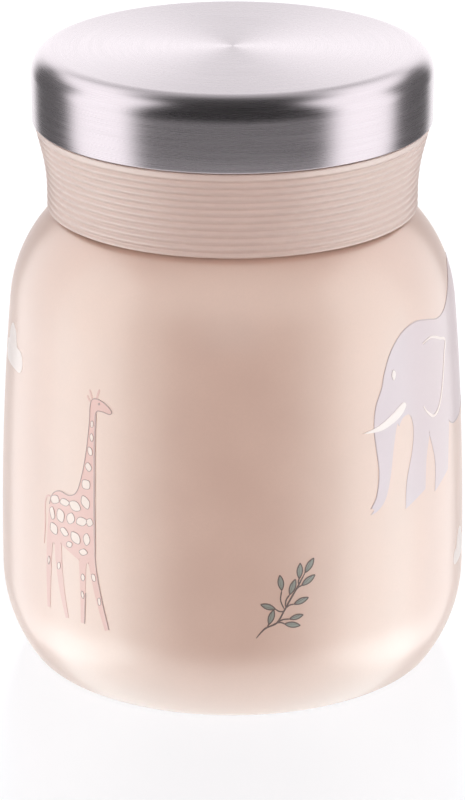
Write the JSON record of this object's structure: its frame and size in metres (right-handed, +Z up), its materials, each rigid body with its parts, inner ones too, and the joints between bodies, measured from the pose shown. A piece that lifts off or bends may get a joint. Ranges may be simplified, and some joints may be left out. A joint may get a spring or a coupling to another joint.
{
  "type": "insulated baby food jar",
  "caption": "Squat double-walled steel baby food jar with a rounded base, a ribbed plastic lid skirt and a brushed steel cap.",
  "frame": {"origin": "centre of the standing ring under the base, in the plane the jar stands on", "axes": "+Z up along the jar's axis; -Y towards the viewer; +X to the viewer's right"},
  "size_m": [0.0916, 0.0916, 0.122],
  "materials": {
    "paint": "satin",
    "polished_steel": "satin",
    "copper": "satin",
    "getter": "matte",
    "solder_glass": "gloss",
    "brushed_steel": "satin",
    "pink_plastic": "satin",
    "white_plastic": "satin",
    "foam": "matte",
    "silicone": "matte",
    "adhesive": "matte"
  },
  "bodies": {
    "jar": {"outer_shell": "paint", "base_cup": "paint", "inner_liner": "polished_steel", "copper_foil": "copper", "getter_clip": "polished_steel", "getter_pellet": "getter", "glass_seal_bead": "solder_glass", "base_cover": "brushed_steel"},
    "seal": {"seal_ring": "silicone"},
    "lid": {"lid_cap": "brushed_steel", "lid_shell": "pink_plastic", "lid_inner": "white_plastic", "lid_foam": "foam", "cap_bond_pad": "adhesive"}
  },
  "joints": [
    {"name": "lid_lift", "type": "slide", "parent": "jar", "child": "seal", "axis": [0, 0, 1], "range_m": [0, 0.0361]},
    {"name": "lid_turn", "type": "hinge", "parent": "seal", "child": "lid", "pos_m": [0, 0, 0], "axis": [0, 0, 1], "range_deg": [0, 1080]}
  ],
  "couplings": [
    {"joint": "lid_lift", "follows": "lid_turn", "m_per_rad": 0.0019099}
  ]
}
